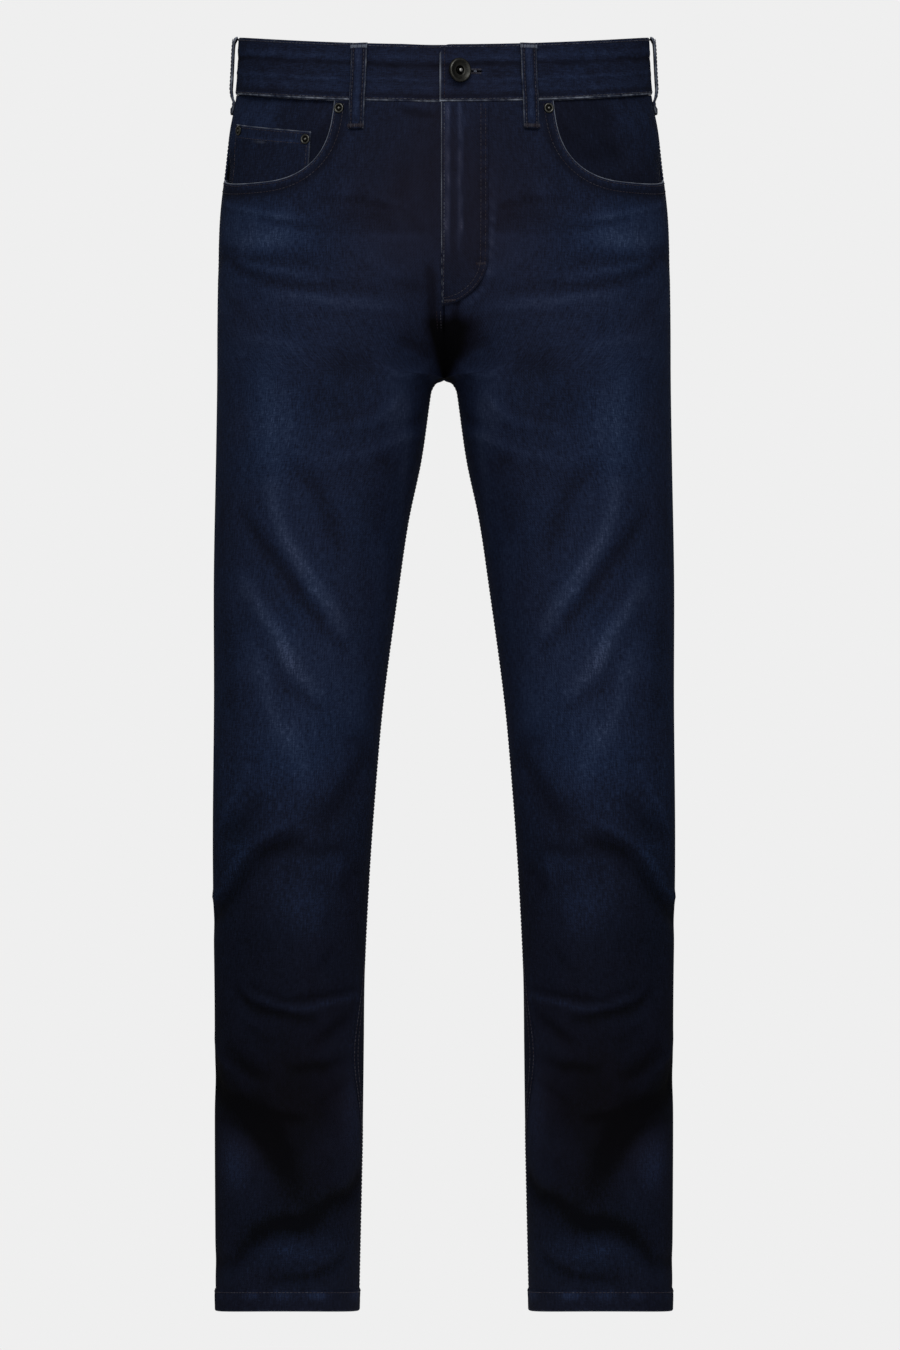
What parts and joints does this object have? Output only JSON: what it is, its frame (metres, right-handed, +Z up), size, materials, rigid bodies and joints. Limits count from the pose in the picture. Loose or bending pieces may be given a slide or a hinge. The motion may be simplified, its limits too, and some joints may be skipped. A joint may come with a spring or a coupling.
{
  "type": "slim fit jeans",
  "caption": "Slim fit jeans in dark indigo stretch denim, filled out and hollow as worn, with open waist and hems, scoop and patch pockets, waist button and belt loops.",
  "frame": {"origin": "middle of the waist opening, half way up the waistband taken all round, where the wearer holds the jeans", "axes": "+Z up towards the waist opening, -Y out of the front, +X towards the wearer's left"},
  "size_m": [0.3836, 0.2341, 1.0627],
  "materials": {
    "denim": "dark indigo 3x1 right-hand twill stretch denim, washed, faded at the thighs and knees, pale wear along folded edges",
    "dark_metal": "gunmetal plated, worn lighter on raised rims"
  },
  "bodies": {
    "root": {"front_right": "denim", "front_left": "denim", "back_right": "denim", "back_left": "denim", "yoke_right": "denim", "yoke_left": "denim", "pocket_facing_right": "denim", "pocket_facing_left": "denim", "coin_pocket": "denim", "fly": "denim", "waistband": "denim", "belt_loop_front_right": "denim", "belt_loop_front_left": "denim", "belt_loop_side_right": "denim", "belt_loop_side_left": "denim", "belt_loop_back": "denim", "back_pocket_right": "denim", "back_pocket_left": "denim", "button": "dark_metal", "rivet_pocket_right": "dark_metal", "rivet_pocket_left": "dark_metal", "rivet_coin_inner": "dark_metal", "rivet_coin_outer": "dark_metal"}
  },
  "joints": []
}
